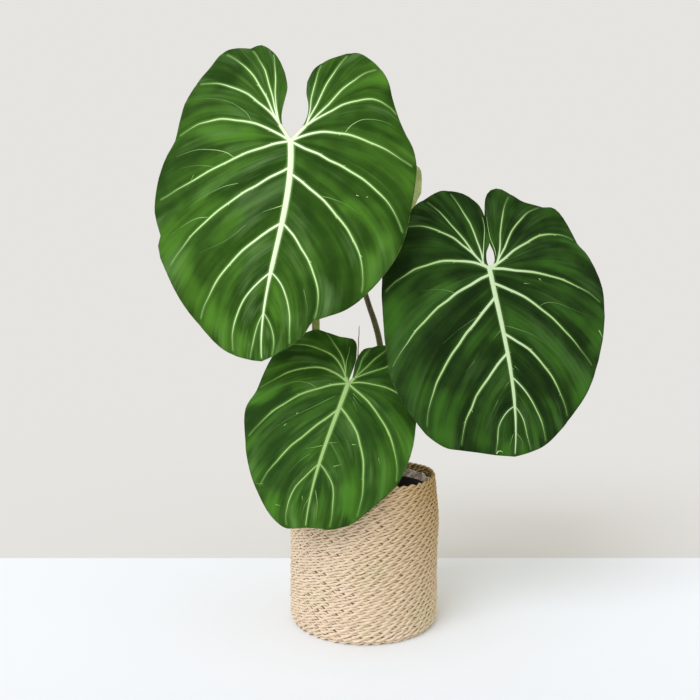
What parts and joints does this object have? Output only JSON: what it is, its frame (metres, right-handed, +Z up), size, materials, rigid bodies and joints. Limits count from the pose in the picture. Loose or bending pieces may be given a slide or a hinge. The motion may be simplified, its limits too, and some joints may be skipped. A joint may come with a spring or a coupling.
{
  "type": "potted philodendron gloriosum",
  "caption": "Philodendron with large heart-shaped, pale-ribbed leaves on upright stalks from a creeping rhizome, in a nursery pot inside a round woven basket planter.",
  "frame": {"origin": "centre of the basket's flat underside, which is the floor that the plant stands on", "axes": "+Z up along the basket's axis; -Y towards the plant's front, which the three largest leaves face; +X to the right seen from the front"},
  "size_m": [0.5153, 0.3505, 0.6486],
  "materials": {
    "woven_cord": "matte",
    "liner_film": "satin",
    "pot_plastic": "matte",
    "potting_mix": "matte",
    "rhizome_bark": "matte",
    "dried_sheath": "matte",
    "leaf_green": "matte",
    "leaf_ribs": "matte",
    "petiole_green": "satin"
  },
  "bodies": {
    "root": {"basket": "woven_cord", "basket_liner": "liner_film", "nursery_pot": "pot_plastic", "potting_mix": "potting_mix", "rhizome": "rhizome_bark", "dried_sheath": "dried_sheath", "leaf_1_blade": "leaf_green", "leaf_1_ribs": "leaf_ribs", "leaf_1_petiole": "petiole_green", "leaf_2_blade": "leaf_green", "leaf_2_ribs": "leaf_ribs", "leaf_2_petiole": "petiole_green", "leaf_3_blade": "leaf_green", "leaf_3_ribs": "leaf_ribs", "leaf_3_petiole": "petiole_green", "leaf_4_blade": "leaf_green", "leaf_4_ribs": "leaf_ribs", "leaf_4_petiole": "petiole_green"}
  },
  "joints": []
}
